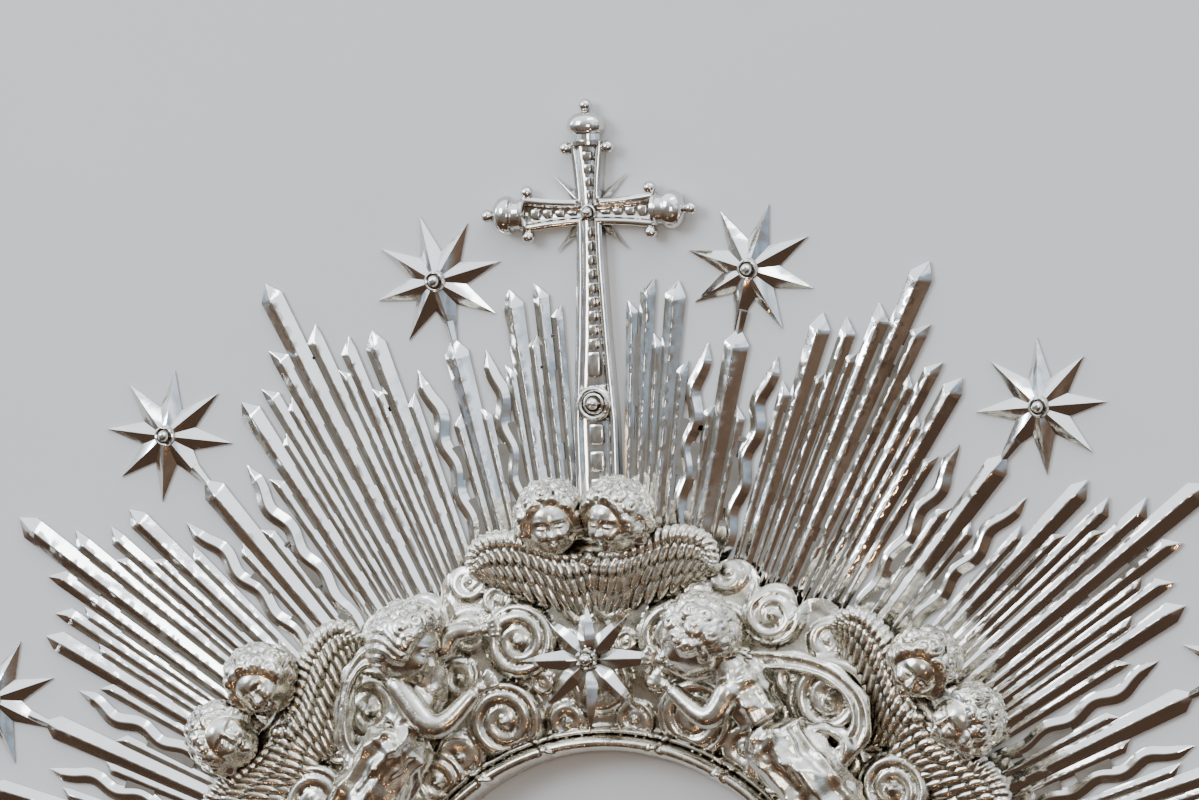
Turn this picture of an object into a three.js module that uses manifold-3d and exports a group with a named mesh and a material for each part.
// A silver sunburst diadem, of the kind worn by a life-size carved figure in a procession.
// A horseshoe band of rolled clouds carries pairs of winged cherub heads, two angels and a star.
// Behind its outer edge stand bundles of straight and flame rays, ten rays tipped with stars, and a cross.
// Millimetres. The diadem lies on its flat back: +Z comes out of its front and +Y points to the cross.
import * as THREE from "three";
import { ConvexGeometry } from "three/addons/geometries/ConvexGeometry.js";
import { mergeVertices } from "three/addons/utils/BufferGeometryUtils.js";
import Module from "manifold-3d";

const wasm = await Module();
wasm.setup();

// Clearance between pieces that touch
const FIT = 0.3;

// The horseshoe band
const RING_INNER = 92;
const BAND_WIDTH = 84;
const BAND_END_ANGLE = 127;
const BAND_RIM_WIDTH = 8;
const BAND_RIM_HEIGHT = 15;
const BAND_CROWN_HEIGHT = 14;
const BAND_EDGE_HEIGHT = 7.5;
const BAND_STEPS = 26;
const bandOuter = RING_INNER + BAND_WIDTH;

// The recess behind the band's outer edge, where the rays' feet are held
const RECESS_WIDTH = 16;
const RECESS_HEIGHT = 5.5;
const RAY_STRIP_WIDTH = 9;
const recessRadius = bandOuter - RECESS_WIDTH;
const footRadius = recessRadius + FIT;
const footThickness = RECESS_HEIGHT - FIT;
const rayStart = footRadius + RAY_STRIP_WIDTH * 0.5;

// The sunburst. Reach is the length beyond the band's edge and width is at the tip, both in millimetres.
// Root is the width at the foot in degrees, so that neighbours keep apart there. Lean moves the tip aside.
const STAR_PITCH = 26.35;
const STAR_COUNT = 10;
const RAY_BACK = 0.5;
const RAY_HEIGHT_SHARE = 0.36;
const RAYS = {
  peak: { reach: 141, width: 8.6, root: 1.8, lean: 0 },
  high: { reach: 117, width: 6.2, root: 1.3, lean: 0.42 },
  low: { reach: 96, width: 4, root: 0.8, lean: -0.42 },
  middle: { reach: 106, width: 5.6, root: 1.15, lean: 0.4 },
  lesser: { reach: 84, width: 3.8, root: 0.8, lean: -0.42 },
  tall: { reach: 105, width: 7.8, root: 1.6, lean: 0.1 },
  short: { reach: 74, width: 4.4, root: 0.9, lean: 0.42 },
  flame: { reach: 83, width: 5.8, root: 1.2, lean: 0 },
  stub: { reach: 60, width: 4, root: 0.85, lean: 0.42 },
};
// Half a bundle, outwards from its longest ray, with each ray's angle from it in degrees
const HALF_BUNDLE = [
  ["high", 1.62],
  ["low", 2.84],
  ["middle", 3.9],
  ["lesser", 5.0],
  ["tall", 6.3],
  ["short", 7.7],
  ["flame", 9.75],
  ["stub", 11.55],
];
// Beside the cross's foot, where the two longest rays give way to it
const CROSS_BUNDLE = [
  ["low", 3.45],
  ["middle", 4.75],
  ["lesser", 5.9],
  ["tall", 7.2],
  ["short", 8.4],
  ["flame", 10.1],
  ["stub", 11.85],
];
const TIP_LENGTH_SHARE = 0.8;
const FLAME_BENDS = 9;
const FLAME_SWING = 1.8;

// Stars on their rays
const STAR_REACH = 114;
const STAR_ARM = 27;
const STAR_VALLEY = 12;
const STAR_HEIGHT = 5;
const STAR_RAY_WIDTH = 9.8;
const STAR_RAY_ROOT = 1.84;
const STAR_NECK_WIDTH = 4;
const BOSS_RADIUS = 4.4;

// The cross
const CROSS_CENTRE_REACH = 131.6;
const CROSS_ARM = 26.7;
const CROSS_HALF_WIDTH = 5;
const CROSS_FLARE = 1.7;
const CROSS_FOOT_HALF_WIDTH = 8.6;
const CROSS_FOOT_LENGTH = 62;
const CROSS_THICKNESS = 6.6;
const CROSS_CHAMFER = 1.4;
const KNOB_LENGTH = 11.4;
const KNOB_RADIUS = 7.2;
const BEAD_RADIUS = 2.7;
const SPIKE_LENGTH = 21.5;

// Figures on the band
const CHERUB_HEAD = 15.2;
const CHERUB_SPACING = 14;
const CHERUB_OVERHANG = 9;
const CHERUB_LIFT = 22.5;
const CHERUB_UNDERSIDE = 9;
const WING_SPAN = 50;
const WING_THICKNESS = 6.5;
const WING_DROP = 19;
const WING_LIFT = 14;
const ANGEL_HEAD = 15.6;
const ANGEL_LIFT = 33;
const CAPE_RADIUS = 3;
const FOLD_RADIUS = 4;
const MIDDLE_STAR_ARM = 29;
const MIDDLE_STAR_VALLEY = 6;
const MIDDLE_STAR_HEIGHT = 8.5;
const MIDDLE_STAR_LIFT = 21;
const MIDDLE_STAR_DROP = 47;

const SILVER = { color: 0xd9d8d2, metalness: 1, roughness: 0.2 };
const CAST_SILVER = { color: 0xd3d1c8, metalness: 1, roughness: 0.36 };

const rad = THREE.MathUtils.degToRad;

// A point at an angle from the diadem's axis, clockwise as seen from the front
function polar(angle, radius, z = 0) {
  return new THREE.Vector3(radius * Math.sin(rad(angle)), radius * Math.cos(rad(angle)), z);
}

// A closed geometry as a solid that can be joined and cut
function solid(geometry) {
  const bare = geometry.clone();
  for (const name of Object.keys(bare.attributes)) {
    if (name !== "position") bare.deleteAttribute(name);
  }
  const merged = mergeVertices(bare, 1e-4);
  const triVerts = new Uint32Array(merged.index.array);
  const vertProperties = merged.attributes.position.array;
  return new wasm.Manifold(new wasm.Mesh({ numProp: 3, vertProperties, triVerts }));
}

function geometryOf(shape) {
  const mesh = shape.getMesh();
  const geometry = new THREE.BufferGeometry();
  geometry.setAttribute("position", new THREE.BufferAttribute(new Float32Array(mesh.vertProperties), 3));
  geometry.setIndex(new THREE.BufferAttribute(new Uint32Array(mesh.triVerts), 1));
  geometry.computeVertexNormals();
  return geometry;
}

function join(shapes) {
  return shapes.reduce((whole, next) => whole.add(next));
}

// A polyhedron from its corners and its outward faces; a face of more than three corners is a fan
function polyhedron(corners, faces) {
  const geometry = new THREE.BufferGeometry().setFromPoints(corners);
  const index = faces.flatMap((f) => f.slice(2).flatMap((_, k) => [f[0], f[k + 1], f[k + 2]]));
  geometry.setIndex(index);
  return solid(geometry);
}

// Rows of equal length skinned into a closed body, with a flat fan at both ends.
// Seen along the body from its first row, the points of a row run clockwise.
function skinned(rows) {
  const n = rows[0].length;
  const faces = [];
  for (let i = 0; i + 1 < rows.length; i++) {
    for (let k = 0; k < n; k++) {
      const next = (k + 1) % n;
      const [a, b, c, d] = [i * n + k, i * n + next, (i + 1) * n + next, (i + 1) * n + k];
      faces.push([a, b, c], [a, c, d]);
    }
  }
  const last = (rows.length - 1) * n;
  faces.push(rows[0].map((_, k) => n - 1 - k));
  faces.push(rows[0].map((_, k) => last + k));
  return polyhedron(rows.flat(), faces);
}

// The smallest solid round a set of points
function hull(points) {
  return solid(new ConvexGeometry(points));
}

// A triangular section across a ray at a place along it: left foot, ridge, right foot
function ridgeRow(x, y, width, height) {
  return [
    new THREE.Vector3(x - width / 2, y, 0),
    new THREE.Vector3(x, y, height),
    new THREE.Vector3(x + width / 2, y, 0),
  ];
}

// A straight ray along +Y with a ridge down its front and a faceted point, like a crystal
function straightRay(tipRadius, tipWidth, rootAngle, lean) {
  const startWidth = rayStart * rad(rootAngle);
  const shoulder = tipRadius - tipWidth * TIP_LENGTH_SHARE;
  const start = ridgeRow(0, rayStart, startWidth, startWidth * RAY_HEIGHT_SHARE);
  const end = ridgeRow(0, shoulder, tipWidth, tipWidth * RAY_HEIGHT_SHARE);
  end[1].y -= tipWidth * 0.3;
  return hull([...start, ...end, new THREE.Vector3(lean * tipWidth, tipRadius, 0)]);
}

// A flame ray: the same ridged section, bent to one side and the other by turns and wider outwards
function flameRay(tipRadius, width, rootAngle, side) {
  const rows = [];
  for (let i = 0; i <= FLAME_BENDS; i++) {
    const t = i / FLAME_BENDS;
    const swing = side * FLAME_SWING * (0.4 + 0.6 * t) * (i % 2 ? 1 : -1);
    const broad = THREE.MathUtils.lerp(rayStart * rad(rootAngle), width, Math.min(1, 1.6 * t));
    const w = i === FLAME_BENDS ? broad * 0.16 : broad;
    const y = rayStart + (tipRadius - rayStart) * t;
    rows.push(ridgeRow(swing, y, w, w * RAY_HEIGHT_SHARE));
  }
  return skinned(rows);
}

// The flat strip that joins the feet of a bundle, between two angles
function footStrip(from, to) {
  const outline = new THREE.Shape();
  const outer = footRadius + RAY_STRIP_WIDTH;
  outline.absarc(0, 0, outer, rad(90 - to), rad(90 - from), false);
  outline.absarc(0, 0, footRadius, rad(90 - from), rad(90 - to), true);
  const settings = { depth: footThickness, bevelEnabled: false, curveSegments: 2 };
  return solid(new THREE.ExtrudeGeometry(outline, settings));
}

// Room for a neighbour along a ray's direction, cut from a bundle
function neighbourRoom(angle, startHalf, endHalf) {
  const z0 = -1;
  const z1 = CROSS_THICKNESS + 4;
  const far = bandOuter + STAR_REACH;
  const near = footRadius - 2;
  const at = (x, y, z) => new THREE.Vector3(x, y, z);
  const corners = [z0, z1].flatMap((z) => [
    at(-startHalf, near, z),
    at(startHalf, near, z),
    at(endHalf, far, z),
    at(-endHalf, far, z),
  ]);
  const sides = [0, 1, 2, 3].map((k) => [k, (k + 1) % 4, ((k + 1) % 4) + 4, k + 4]);
  return polyhedron(corners, [[3, 2, 1, 0], [4, 5, 6, 7], ...sides]).rotate([0, 0, -angle]);
}

function starRayRoom(angle) {
  const start = (rayStart * rad(STAR_RAY_ROOT)) / 2 + FIT;
  return neighbourRoom(angle, start, STAR_RAY_WIDTH * 0.56 + FIT);
}

// One bundle: its rays, the strip behind them, and room for the star rays or the cross beside it
function rayBundle(rays, from, to, rooms) {
  const pieces = rays.map(([kind, angle]) => {
    const { reach, width, root, lean } = RAYS[kind];
    const side = Math.sign(angle);
    const flame = () => flameRay(bandOuter + reach, width, root, side);
    const straight = () => straightRay(bandOuter + reach, width, root, lean * side);
    const ray = kind === "flame" ? flame() : straight();
    return ray.rotate([0, 0, -angle]).translate([0, 0, RAY_BACK]);
  });
  const bundle = join([...pieces, footStrip(from, to)]);
  return rooms.reduce((rest, room) => rest.subtract(room), bundle);
}

function mirroredBundle() {
  const right = HALF_BUNDLE;
  const left = HALF_BUNDLE.map(([kind, angle]) => [kind, -angle]);
  const half = STAR_PITCH / 2;
  return rayBundle([["peak", 0], ...right, ...left], -half, half, [starRayRoom(-half), starRayRoom(half)]);
}

function crossBundle(side) {
  const rays = CROSS_BUNDLE.map(([kind, angle]) => [kind, side * angle]);
  const half = STAR_PITCH / 2;
  const foot = CROSS_FOOT_HALF_WIDTH + FIT;
  const span = side > 0 ? [0, half] : [-half, 0];
  return rayBundle(rays, ...span, [starRayRoom(side * half), neighbourRoom(0, foot, foot)]);
}

// Past the last star the bundle stops with the band
function endBundle(side) {
  const lastPeak = (STAR_COUNT / 2) * STAR_PITCH;
  const lastStar = lastPeak - STAR_PITCH / 2;
  const rays = HALF_BUNDLE.slice(4).map(([kind, angle]) => [kind, side * (lastPeak - angle)]);
  const span = [lastStar, lastPeak - HALF_BUNDLE[4][1] + RAYS.tall.root / 2];
  const sorted = side > 0 ? span : [-span[1], -span[0]];
  return rayBundle(rays, ...sorted, [starRayRoom(side * lastStar)]);
}

// A block wider than the diadem, to cut away all that is below a height, or above it
function cuttingBlock(height, above = false) {
  const wide = 4 * bandOuter;
  const middle = above ? height + wide / 2 : height - wide / 2;
  return solid(new THREE.BoxGeometry(wide, wide, wide).translate(0, 0, middle));
}

// A faceted star with its arms in the XY plane, one arm along +Y, with a flat back
function starSolid(arm, valley, height, armCount = 8) {
  const corners = [new THREE.Vector3(0, 0, height), new THREE.Vector3(0, 0, 0)];
  const faces = [];
  const n = armCount * 2;
  for (let k = 0; k < n; k++) {
    corners.push(polar((k * 360) / n, k % 2 ? valley : arm));
    const next = (k + 1) % n;
    faces.push([0, 2 + next, 2 + k], [1, 2 + k, 2 + next]);
  }
  return polyhedron(corners, faces);
}

// A turned shape standing along +Z, from its radius at each height
function turned(profile, segments) {
  const points = profile.map(([r, z]) => new THREE.Vector2(r, z));
  return solid(new THREE.LatheGeometry(points, segments).rotateX(Math.PI / 2));
}

function bead(radius) {
  return solid(new THREE.IcosahedronGeometry(radius, 0));
}

// The rosette at a star's middle: a ring with a ball in it
function boss(radius) {
  return turned([[0, 0], [radius, 0], [radius * 0.7, 2.1], [0, 3.4]], 6);
}

// A ray whose point runs into the lowest arm of its star
function starRay() {
  const centre = bandOuter + STAR_REACH;
  const armTip = centre - STAR_ARM;
  const ray = straightRay(armTip - STAR_RAY_WIDTH * 0.2, STAR_RAY_WIDTH, STAR_RAY_ROOT, 0);
  const neckRow = (y, half) => ridgeRow(0, y, half * 2, half * 1.3);
  const half = STAR_NECK_WIDTH / 2;
  const neck = hull([...neckRow(armTip - STAR_RAY_WIDTH, half), ...neckRow(armTip + STAR_ARM * 0.4, half)]);
  const star = starSolid(STAR_ARM, STAR_VALLEY, STAR_HEIGHT).translate([0, centre, 0]);
  const rosette = boss(BOSS_RADIUS).translate([0, centre, STAR_HEIGHT - 1.6]);
  return join([ray, neck.translate([0, 0, RAY_BACK]), star, rosette]);
}

// A knob that ends an arm of the cross: a neck, a dome and a ball, along +Z
function knob() {
  const r = KNOB_RADIUS;
  const l = KNOB_LENGTH;
  return turned(
    [[0, -1], [r * 0.8, -1], [r * 0.8, l * 0.36], [r, l * 0.4], [r * 0.86, l * 0.74], [0, l]],
    8,
  );
}

// The cross in its own plane, its middle at the origin and its back at z = 0
function crossSolid() {
  const w = CROSS_HALF_WIDTH;
  const flare = w + CROSS_FLARE;
  const a = CROSS_ARM;
  const down = bandOuter + CROSS_CENTRE_REACH - footRadius;
  const footTop = down - RECESS_WIDTH - CROSS_FOOT_LENGTH;
  const f = CROSS_FOOT_HALF_WIDTH;
  const half = [
    [0, a],
    [flare, a],
    [w, w + a * 0.22],
    [w, w],
    [w + a * 0.22, w],
    [a, flare],
    [a, -flare],
    [w + a * 0.22, -w],
    [w, -w],
    [w, -footTop * 0.6],
    [f * 0.66, -footTop],
    [f, -footTop - CROSS_FOOT_LENGTH * 0.66],
    [f * 0.97, -down],
  ];
  const inset = ([x, y]) => new THREE.Vector2(x, y);
  const left = half.slice(1).reverse().map(([x, y]) => [-x, y]);
  const outline = new THREE.Shape([...half, ...left].map(inset));
  const body = solid(
    new THREE.ExtrudeGeometry(outline, {
      depth: CROSS_THICKNESS - CROSS_CHAMFER,
      bevelEnabled: true,
      bevelThickness: CROSS_CHAMFER,
      bevelSize: CROSS_CHAMFER,
      bevelOffset: -CROSS_CHAMFER,
      bevelSegments: 1,
    }),
  );
  const lying = body.subtract(cuttingBlock(0));
  const middle = CROSS_THICKNESS / 2;
  const pieces = [lying];
  for (const [turn, x, y] of [[0, 0, a], [-90, a, 0], [90, -a, 0]]) {
    const place = (shape) => shape.rotate([0, 0, turn]).translate([x, y, 0]);
    const lifted = (shape) => shape.translate([0, 0, middle + 0.4]);
    pieces.push(place(lifted(knob().rotate([-90, 0, 0]))));
    pieces.push(place(lifted(bead(BEAD_RADIUS)).translate([0, KNOB_LENGTH + BEAD_RADIUS * 0.72, 0])));
    for (const side of [-1, 1]) {
      pieces.push(place(lifted(bead(BEAD_RADIUS)).translate([side * (flare + BEAD_RADIUS * 0.7), -1, 0])));
    }
  }
  const spike = starSolid(SPIKE_LENGTH, 3.4, CROSS_THICKNESS * 0.72, 4).rotate([0, 0, 45]);
  const hub = boss(3.4).translate([0, 0, CROSS_THICKNESS - 0.8]);
  const rosetteDown = RECESS_WIDTH + CROSS_FOOT_LENGTH * 0.75 - down;
  const rosette = boss(5.2).translate([0, rosetteDown, CROSS_THICKNESS - 0.8]);
  const whole = join([...pieces, spike, hub, rosette]).subtract(cuttingBlock(0));
  const bandEdge = RECESS_WIDTH + 1 - down;
  const behindBand = cuttingBlock(footThickness, true).translate([0, bandEdge - 2 * bandOuter, 0]);
  return whole.subtract(behindBand);
}

// The band's section, as radius and height, from its inner back corner round its front
function bandSection() {
  const i = RING_INNER;
  const rim = BAND_RIM_WIDTH;
  const field = bandOuter - i - rim;
  return [
    [i, 0],
    [i, BAND_RIM_HEIGHT * 0.72],
    [i + rim * 0.5, BAND_RIM_HEIGHT],
    [i + rim, BAND_RIM_HEIGHT * 0.66],
    [i + rim + field * 0.3, BAND_CROWN_HEIGHT],
    [i + rim + field * 0.75, BAND_CROWN_HEIGHT * 0.9],
    [bandOuter, BAND_EDGE_HEIGHT],
    [bandOuter, RECESS_HEIGHT],
    [recessRadius, RECESS_HEIGHT],
    [recessRadius, 0],
  ];
}

function bandBody() {
  const section = bandSection();
  const rows = [];
  for (let k = 0; k <= BAND_STEPS; k++) {
    const angle = BAND_END_ANGLE * (1 - (2 * k) / BAND_STEPS);
    rows.push(section.map(([r, z]) => polar(angle, r, z)));
  }
  return skinned(rows);
}

// A rolled cloud: a low dome whose top winds in two turns to its middle, as a ridge and a groove
function cloudScroll(radius, height, sink, hand) {
  const n = 6;
  const lines = 3;
  const corners = [];
  const at = (m, j) => 2 * n + m * n + j;
  const ring = (r, z, j) => {
    const a = (hand * 2 * Math.PI * j) / n;
    return new THREE.Vector3(r * Math.cos(a), r * Math.sin(a), z);
  };
  for (let j = 0; j < n; j++) corners.push(ring(radius, -sink, j));
  for (let j = 0; j < n; j++) corners.push(ring(radius * 0.97, height * 0.35, j));
  for (let m = 0; m < lines; m++) {
    for (let j = 0; j < n; j++) {
      const wound = (m + 0.55 + (2 * j) / n) / (lines + 1.6);
      const crest = m % 2 ? 0.62 : 1;
      corners.push(ring(radius * (0.99 - wound), height * crest * (0.75 + 0.4 * wound), j));
    }
  }
  const centre = corners.length;
  corners.push(new THREE.Vector3(0, 0, height * 1.3));
  const faces = [[...Array(n).keys()].reverse()];
  const quad = (a, b, c, d) => faces.push([a, b, c], [a, c, d]);
  const line = (m, j) => (m >= lines ? centre : at(m, j));
  for (let j = 0; j < n; j++) {
    const next = (j + 1) % n;
    quad(j, next, n + next, n + j);
    if (j < n - 1) {
      quad(n + j, n + next, at(0, next), at(0, j));
      for (let m = 0; m + 1 < lines; m++) quad(at(m, j), at(m, next), at(m + 1, next), at(m + 1, j));
      faces.push([at(lines - 1, j), at(lines - 1, next), centre]);
    }
  }
  const last = n - 1;
  faces.push([n + last, n, at(0, 0)], [n + last, at(0, 0), at(1, 0)]);
  faces.push([n + last, at(1, 0), at(2, 0)], [n + last, at(2, 0), at(0, last)]);
  for (let m = 0; m + 1 < lines; m++) {
    const corner = [at(m, last), line(m + 2, 0), line(m + 3, 0), at(m + 1, last)];
    if (corner[1] !== centre) faces.push([corner[0], corner[1], corner[2]]);
    faces.push([corner[0], corner[2], corner[3]]);
  }
  const turnedFaces = hand < 0 ? faces.map((f) => [...f].reverse()) : faces;
  return polyhedron(corners, turnedFaces);
}

// Clouds on one side: angle, place across the band from 0 inside to 1 outside, and radius
const CLOUDS = [
  [13.4, 0.58, 15],
  [21, 0.24, 16],
  [27, 0.83, 13],
  [41.5, 0.66, 18],
  [58.5, 0.6, 15],
  [70, 0.3, 16],
  [79, 0.76, 16],
  [93, 0.34, 17],
  [112, 0.3, 17],
  [121, 0.72, 17],
];

function bandSolid() {
  const rest = BAND_CROWN_HEIGHT * 0.78;
  const sink = rest - RECESS_HEIGHT - FIT;
  const scrolls = CLOUDS.flatMap(([angle, across, radius]) =>
    [-1, 1].map((side) => {
      const place = polar(side * angle, RING_INNER + BAND_WIDTH * across, rest);
      return cloudScroll(radius, 5.2, sink, side).rotate([0, 0, -side * angle]).translate(place.toArray());
    }),
  );
  return join([bandBody(), ...scrolls]);
}

// A child's head with its hair: a ball flattened behind, with brow, nose, cheeks and chin, facing +Z
function headSolid(radius) {
  const geometry = new THREE.SphereGeometry(radius, 9, 6);
  const position = geometry.getAttribute("position");
  const p = new THREE.Vector3();
  for (let i = 0; i < position.count; i++) {
    p.fromBufferAttribute(position, i).divideScalar(radius);
    const face = Math.max(0, p.z) * (p.y < 0.45 ? 1 : 0);
    const nose = 0.16 * Math.exp(-((p.x / 0.2) ** 2) - ((p.y + 0.08) / 0.22) ** 2) * face;
    const curls = 0.1 * Math.hypot(p.x, p.z) * Math.cos(7 * Math.atan2(p.x, p.z));
    const hair = p.y > 0.45 || p.z < 0.2 ? 0.04 + curls : -0.1;
    const chin = p.y < -0.55 ? 0.06 * face : 0;
    p.multiplyScalar(radius * (1 + hair + nose + chin));
    position.setXYZ(i, p.x * 0.98, p.y, p.z);
  }
  return solid(geometry);
}

// A feathered wing lying from the origin towards +X: a leaf outline with a stepped trailing edge
function wingSolid(side) {
  const s = WING_SPAN;
  const points = [
    [0, -11],
    [0, 10],
    [0.56, 8],
    [0.84, 6.5],
    [1, 0],
    [0.86, -3],
    [0.84, -7],
    [0.62, -6],
    [0.56, -12],
    [0.36, -9],
    [0.24, -15],
  ];
  const outline = new THREE.Shape(points.map(([x, y]) => new THREE.Vector2(side * s * x, y)));
  return solid(new THREE.ExtrudeGeometry(outline, { depth: WING_THICKNESS, bevelEnabled: false }));
}

// Two cherub heads side by side over their wings, at the top of the diadem
function cherubPair() {
  const radius = bandOuter + CHERUB_OVERHANG;
  const heads = [-1, 1].map((side) =>
    headSolid(CHERUB_HEAD)
      .rotate([10, -side * 12, side * 8])
      .translate([side * CHERUB_SPACING, radius, CHERUB_LIFT + 1.5]),
  );
  const wings = [-1, 1].map((side) =>
    wingSolid(side)
      .rotate([0, 0, -side * 4])
      .translate([0, radius - WING_DROP, WING_LIFT]),
  );
  return join([...heads, ...wings]).subtract(cuttingBlock(CHERUB_UNDERSIDE));
}

const cornersOf = (geometry) => {
  const position = mergeVertices(geometry, 1e-4).getAttribute("position");
  const corner = (_, i) => new THREE.Vector3().fromBufferAttribute(position, i);
  return Array.from({ length: position.count }, corner);
};
const ROUND = cornersOf(new THREE.IcosahedronGeometry(1, 0));
const SLIM = cornersOf(new THREE.OctahedronGeometry(1, 0));

// A part of a body or a cloth stretched over balls, each given by its middle and its radius
function bodyPart(balls, ball = ROUND) {
  const placed = ([middle, radius]) => ball.map((c) => c.clone().multiplyScalar(radius).add(middle));
  return hull(balls.flatMap(placed));
}

// The two angels' joints, from the middle of the head: towards the middle star, up, and out
const REACHING = {
  neck: [7, -12, -3],
  chest: [3, -24, -6],
  hips: [-11, -45, -7],
  nearShoulder: [-5, -15, -2],
  nearElbow: [12, -36, 2],
  nearHand: [34, -20, -1],
  farShoulder: [14, -12, -6],
  farElbow: [23, -5, -7],
  farHand: [33, -1, -7],
  nearKnee: [-16, -66, -5],
  nearFoot: [-34, -88, -9],
  farKnee: [-30, -62, -9],
  farFoot: [-42, -82, -12],
  cape: [[14, -10, -7], [-9, 2, -9], [-27, -6, -8], [-34, -24, -8], [-30, -42, -9], [-16, -48, -8]],
};
const LEANING = {
  neck: [-7, -10, -3],
  chest: [-15, -23, -5],
  hips: [-28, -46, -7],
  nearShoulder: [-14, -21, 0],
  nearElbow: [-3, -35, 1],
  nearHand: [14, -23, -1],
  farShoulder: [-4, -15, -6],
  farElbow: [6, -17, -9],
  farHand: [17, -13, -7],
  nearKnee: [-38, -67, -5],
  nearFoot: [-56, -88, -9],
  farKnee: [-48, -60, -9],
  farFoot: [-64, -80, -12],
  cape: [[-10, -12, -7], [-24, -4, -12], [-39, -14, -14], [-47, -30, -14], [-46, -46, -12], [-34, -52, -8]],
};
// Each angel: its place round the band and across it, its pose, and how far its face turns, in degrees
const ANGELS = {
  left: { side: -1, angle: 28.1, across: 0.8, pose: REACHING, turn: 30 },
  right: { side: 1, angle: 19.5, across: 0.68, pose: LEANING, turn: 50 },
};

// An angel beside the middle star, with a cloth in folds round its legs and a cape blown out behind it
function angelSolid({ side, angle, across, pose, turn }) {
  const head = polar(side * angle, RING_INNER + BAND_WIDTH * across, ANGEL_LIFT);
  const place = ([inward, up, out]) => new THREE.Vector3(-side * inward, up, out).add(head);
  const joint = (name) => place(name === "head" ? [0, 0, 0] : pose[name]);
  const part = (...balls) => bodyPart(balls.map(([name, radius]) => [joint(name), radius]));
  const skull = headSolid(ANGEL_HEAD).rotate([-12, -side * turn, side * 10]).translate(head.toArray());
  const cape = pose.cape.slice(1).map((end, k) => {
    return bodyPart([[place(pose.cape[k]), CAPE_RADIUS], [place(end), CAPE_RADIUS]], SLIM);
  });
  const folds = [0.12, 0.5, 0.88].map((share) => {
    const between = (near, far) => joint(near).lerp(joint(far), share);
    const waist = joint("hips").add(new THREE.Vector3(0, 0, FOLD_RADIUS));
    const knee = between("nearKnee", "farKnee").add(new THREE.Vector3(0, 0, FOLD_RADIUS * 1.3));
    const foot = between("nearFoot", "farFoot");
    return bodyPart([[waist, FOLD_RADIUS * 1.8], [knee, FOLD_RADIUS], [foot, FOLD_RADIUS]], SLIM);
  });
  return join([
    skull,
    part(["head", 6.5], ["neck", 6]),
    part(["neck", 5], ["nearShoulder", 6.5], ["farShoulder", 6], ["chest", 10.5]),
    part(["chest", 10], ["hips", 12]),
    part(["nearShoulder", 6], ["nearElbow", 4.6]),
    part(["nearElbow", 4.6], ["nearHand", 3.2]),
    part(["farShoulder", 5.4], ["farElbow", 4.2]),
    part(["farElbow", 4.2], ["farHand", 3]),
    part(["hips", 11.5], ["nearKnee", 8.5], ["farKnee", 8]),
    part(["nearKnee", 7.5], ["farKnee", 7], ["nearFoot", 4], ["farFoot", 4]),
    ...folds,
    ...cape,
  ]);
}

function middleStar() {
  const lift = MIDDLE_STAR_LIFT;
  const star = starSolid(MIDDLE_STAR_ARM, MIDDLE_STAR_VALLEY, MIDDLE_STAR_HEIGHT).translate([0, 0, lift]);
  const sunk = BAND_CROWN_HEIGHT * 0.6;
  const post = turned([[0, sunk], [5, sunk], [4.4, lift + 1], [0, lift + 1]], 6);
  const rosette = boss(3.6).translate([0, 0, lift + MIDDLE_STAR_HEIGHT - 2]);
  return join([star, post, rosette]).translate([0, bandOuter - MIDDLE_STAR_DROP, 0]);
}

// The pieces, each as its own named mesh
const diadem = new THREE.Group();
const ring = new THREE.Group();
diadem.add(ring);

function addPiece(name, shape, look, angle = 0) {
  const mesh = new THREE.Mesh(geometryOf(shape), new THREE.MeshStandardMaterial(look));
  mesh.name = name;
  mesh.rotation.z = -rad(angle);
  ring.add(mesh);
}

const band = bandSolid();
addPiece("cloud_band", band, CAST_SILVER);

// A piece that rests on the band is cut by the band raised by the clearance
function restingOnBand(shape, angle = 0) {
  return shape.subtract(band.translate([0, 0, FIT]).rotate([0, 0, angle]));
}

addPiece("rays_cross_left", crossBundle(-1), SILVER);
addPiece("rays_cross_right", crossBundle(1), SILVER);
const bundle = mirroredBundle();
const bundlesPerSide = STAR_COUNT / 2 - 1;
for (let k = 1; k <= bundlesPerSide; k++) {
  addPiece(`rays_left_${k}`, bundle, SILVER, -k * STAR_PITCH);
  addPiece(`rays_right_${k}`, bundle, SILVER, k * STAR_PITCH);
}
addPiece("rays_end_left", endBundle(-1), SILVER);
addPiece("rays_end_right", endBundle(1), SILVER);

const star = starRay();
for (let k = 1; k <= STAR_COUNT / 2; k++) {
  addPiece(`star_ray_left_${k}`, star, SILVER, -(k - 0.5) * STAR_PITCH);
  addPiece(`star_ray_right_${k}`, star, SILVER, (k - 0.5) * STAR_PITCH);
}

addPiece("cross", crossSolid().translate([0, bandOuter + CROSS_CENTRE_REACH, 0]), SILVER);

const pair = cherubPair();
const pairPlaces = { top: 0, upper_left: -2, upper_right: 2, lower_left: -4, lower_right: 4 };
for (const [place, pitches] of Object.entries(pairPlaces)) {
  const angle = pitches * STAR_PITCH;
  addPiece(`cherubs_${place}`, restingOnBand(pair, angle), CAST_SILVER, angle);
}

addPiece("angel_left", restingOnBand(angelSolid(ANGELS.left)), CAST_SILVER);
addPiece("angel_right", restingOnBand(angelSolid(ANGELS.right)), CAST_SILVER);
addPiece("middle_star", restingOnBand(middleStar()), SILVER);

// The origin is under the middle of the whole, on the surface that the diadem lies on
const extent = new THREE.Box3().setFromObject(diadem, true);
const middle = extent.getCenter(new THREE.Vector3());
ring.position.set(-middle.x, -middle.y, -extent.min.z);

export default diadem;
